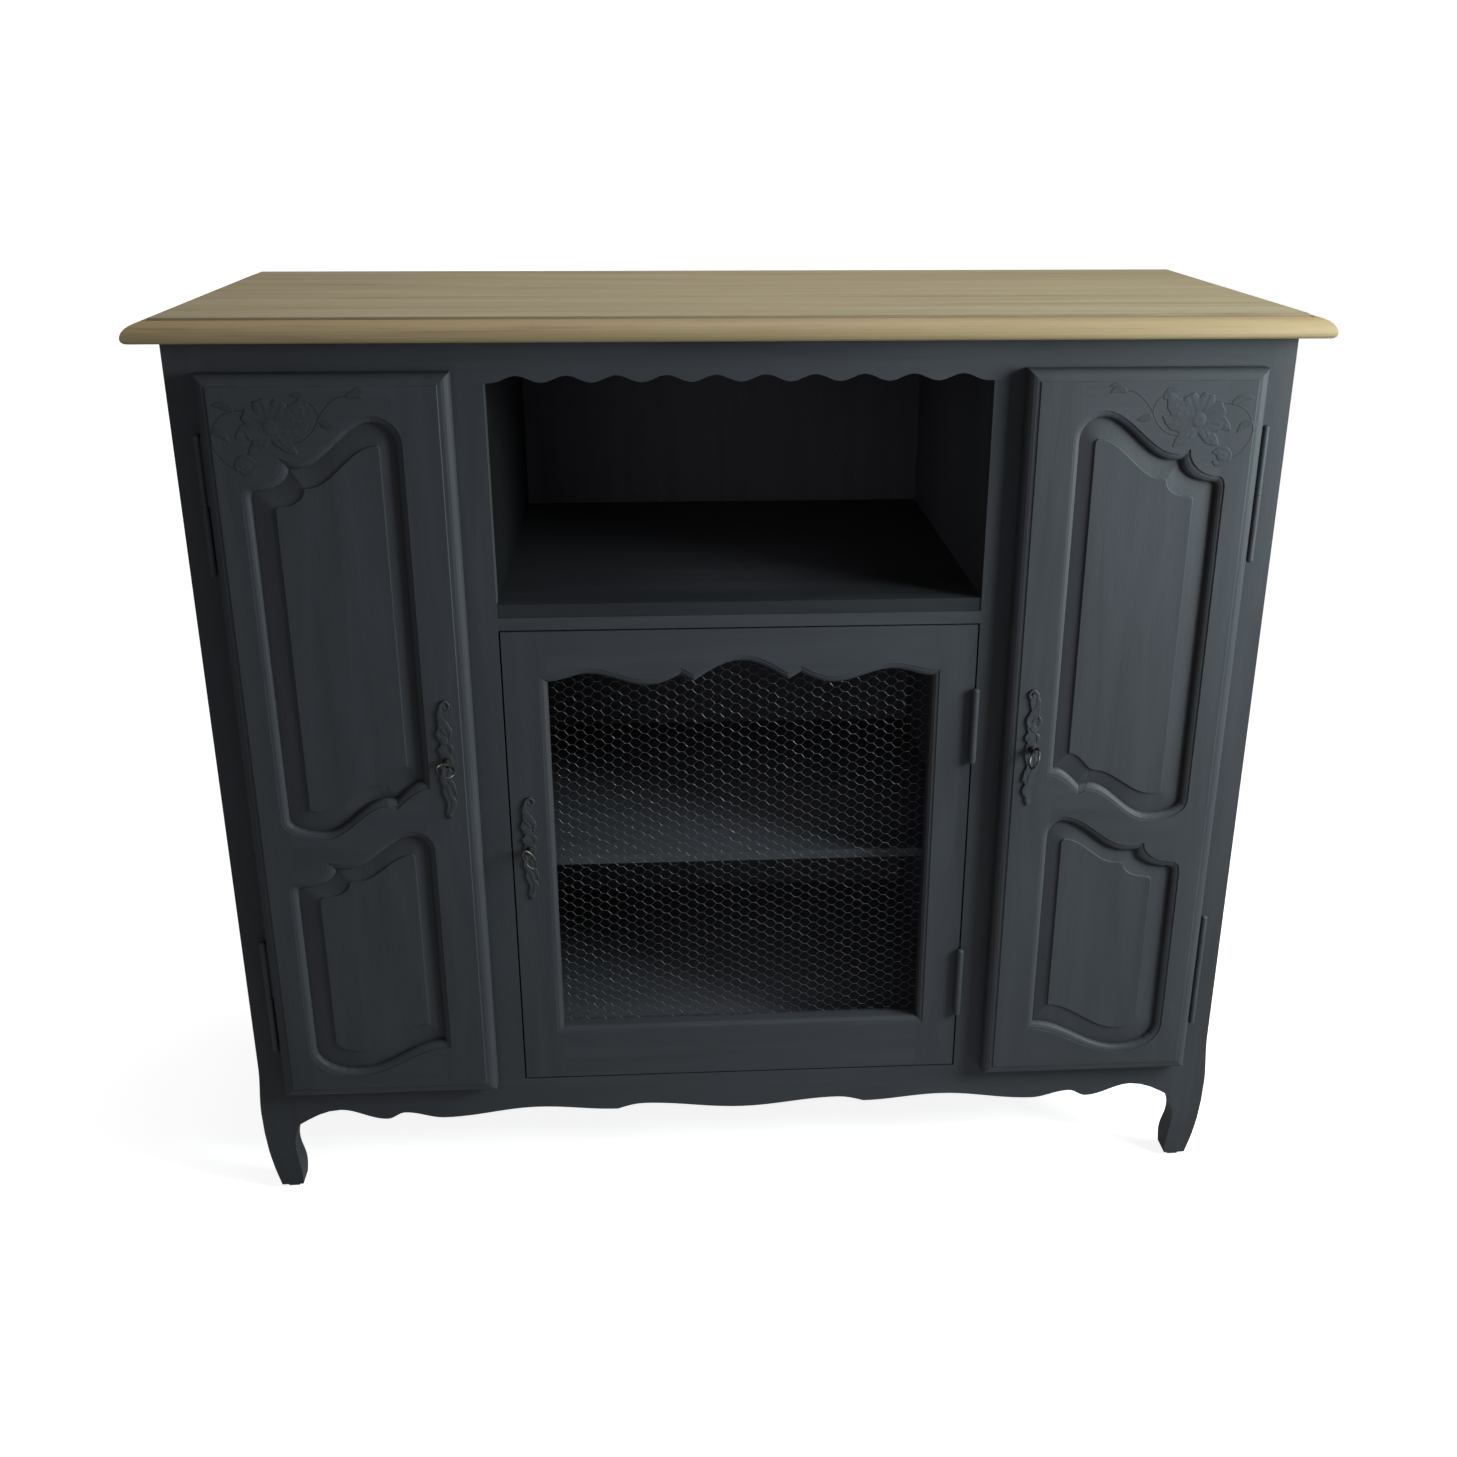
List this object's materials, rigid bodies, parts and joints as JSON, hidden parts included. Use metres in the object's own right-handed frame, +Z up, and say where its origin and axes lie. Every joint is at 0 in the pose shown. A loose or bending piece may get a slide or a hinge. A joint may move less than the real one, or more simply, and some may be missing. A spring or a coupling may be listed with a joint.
{
  "type": "sideboard",
  "caption": "Painted country sideboard with an oak top, an open niche over a wire-netted door, panelled side doors with shaped rails, shelves behind, locks with keys, on shaped feet.",
  "frame": {"origin": "on the floor, under the middle of the whole piece", "axes": "+X to the right seen from the front, +Y to the back, so the front faces -Y, +Z up"},
  "size_m": [1.312, 0.5576, 1.143],
  "materials": {
    "paint": "satin",
    "oak": "satin",
    "wire": "galvanised",
    "iron": "painted",
    "steel": "aged"
  },
  "bodies": {
    "cabinet": {"top_board": "oak", "left_front_post": "paint", "right_front_post": "paint", "left_back_post": "paint", "right_back_post": "paint", "left_side_panel": "paint", "right_side_panel": "paint", "top_rail": "paint", "apron_rail": "paint", "left_inner_stile": "paint", "right_inner_stile": "paint", "mid_rail": "paint", "niche_floor": "paint", "left_partition": "paint", "right_partition": "paint", "bottom_board": "paint", "back_panel": "paint", "back_top_rail": "paint", "back_bottom_rail": "paint", "centre_shelf": "paint", "left_shelves": "paint", "right_shelves": "paint", "shelf_cleats": "paint", "left_post_hinges": "iron", "right_post_hinges": "iron", "centre_frame_hinges": "iron"},
    "left_door": {"left_hinge_stile": "paint", "left_lock_stile": "paint", "left_door_top_rail": "paint", "left_door_mid_rail": "paint", "left_door_bottom_rail": "paint", "left_upper_panel": "paint", "left_lower_panel": "paint", "left_door_hinges": "iron", "left_escutcheon": "iron", "left_lock_case": "iron"},
    "right_door": {"right_hinge_stile": "paint", "right_lock_stile": "paint", "right_door_top_rail": "paint", "right_door_mid_rail": "paint", "right_door_bottom_rail": "paint", "right_upper_panel": "paint", "right_lower_panel": "paint", "right_door_hinges": "iron", "right_escutcheon": "iron", "right_lock_case": "iron"},
    "centre_door": {"centre_stiles": "paint", "centre_top_rail": "paint", "centre_bottom_rail": "paint", "netting": "wire", "net_beads": "paint", "centre_door_hinges": "iron", "centre_escutcheon": "iron", "centre_lock_case": "iron"},
    "left_bolt": {"left_bolt": "steel"},
    "left_key": {"left_key": "steel"},
    "right_bolt": {"right_bolt": "steel"},
    "right_key": {"right_key": "steel"},
    "centre_bolt": {"centre_bolt": "steel"},
    "centre_key": {"centre_key": "steel"}
  },
  "joints": [
    {"name": "left_door_swing", "type": "hinge", "parent": "cabinet", "child": "left_door", "pos_m": [-0.5955, -0.23775, 0.6285], "axis": [0, 0, -1], "range_deg": [0, 170]},
    {"name": "right_door_swing", "type": "hinge", "parent": "cabinet", "child": "right_door", "pos_m": [0.5955, -0.23775, 0.6285], "axis": [0, 0, 1], "range_deg": [0, 170]},
    {"name": "centre_door_swing", "type": "hinge", "parent": "cabinet", "child": "centre_door", "pos_m": [0.2825, -0.23095, 0.477], "axis": [0, 0, 1], "range_deg": [0, 120]},
    {"name": "left_key_turn", "type": "hinge", "parent": "left_door", "child": "left_key", "pos_m": [-0.3505, -0.24875, 0.633], "axis": [0, 1, 0], "range_deg": [0, 270]},
    {"name": "left_bolt_throw", "type": "slide", "parent": "left_door", "child": "left_bolt", "axis": [1, 0, 0], "range_m": [0, 0.008]},
    {"name": "right_key_turn", "type": "hinge", "parent": "right_door", "child": "right_key", "pos_m": [0.3505, -0.24875, 0.633], "axis": [0, -1, 0], "range_deg": [0, 270]},
    {"name": "right_bolt_throw", "type": "slide", "parent": "right_door", "child": "right_bolt", "axis": [-1, 0, 0], "range_m": [0, 0.008]},
    {"name": "centre_key_turn", "type": "hinge", "parent": "centre_door", "child": "centre_key", "pos_m": [-0.2605, -0.22625, 0.503], "axis": [0, -1, 0], "range_deg": [0, 270]},
    {"name": "centre_bolt_throw", "type": "slide", "parent": "centre_door", "child": "centre_bolt", "axis": [-1, 0, 0], "range_m": [0, 0.008]}
  ],
  "couplings": [
    {"joint": "left_bolt_throw", "follows": "left_key_turn", "m_per_rad": 0.0016968},
    {"joint": "right_bolt_throw", "follows": "right_key_turn", "m_per_rad": 0.0016968},
    {"joint": "centre_bolt_throw", "follows": "centre_key_turn", "m_per_rad": 0.0016968}
  ]
}
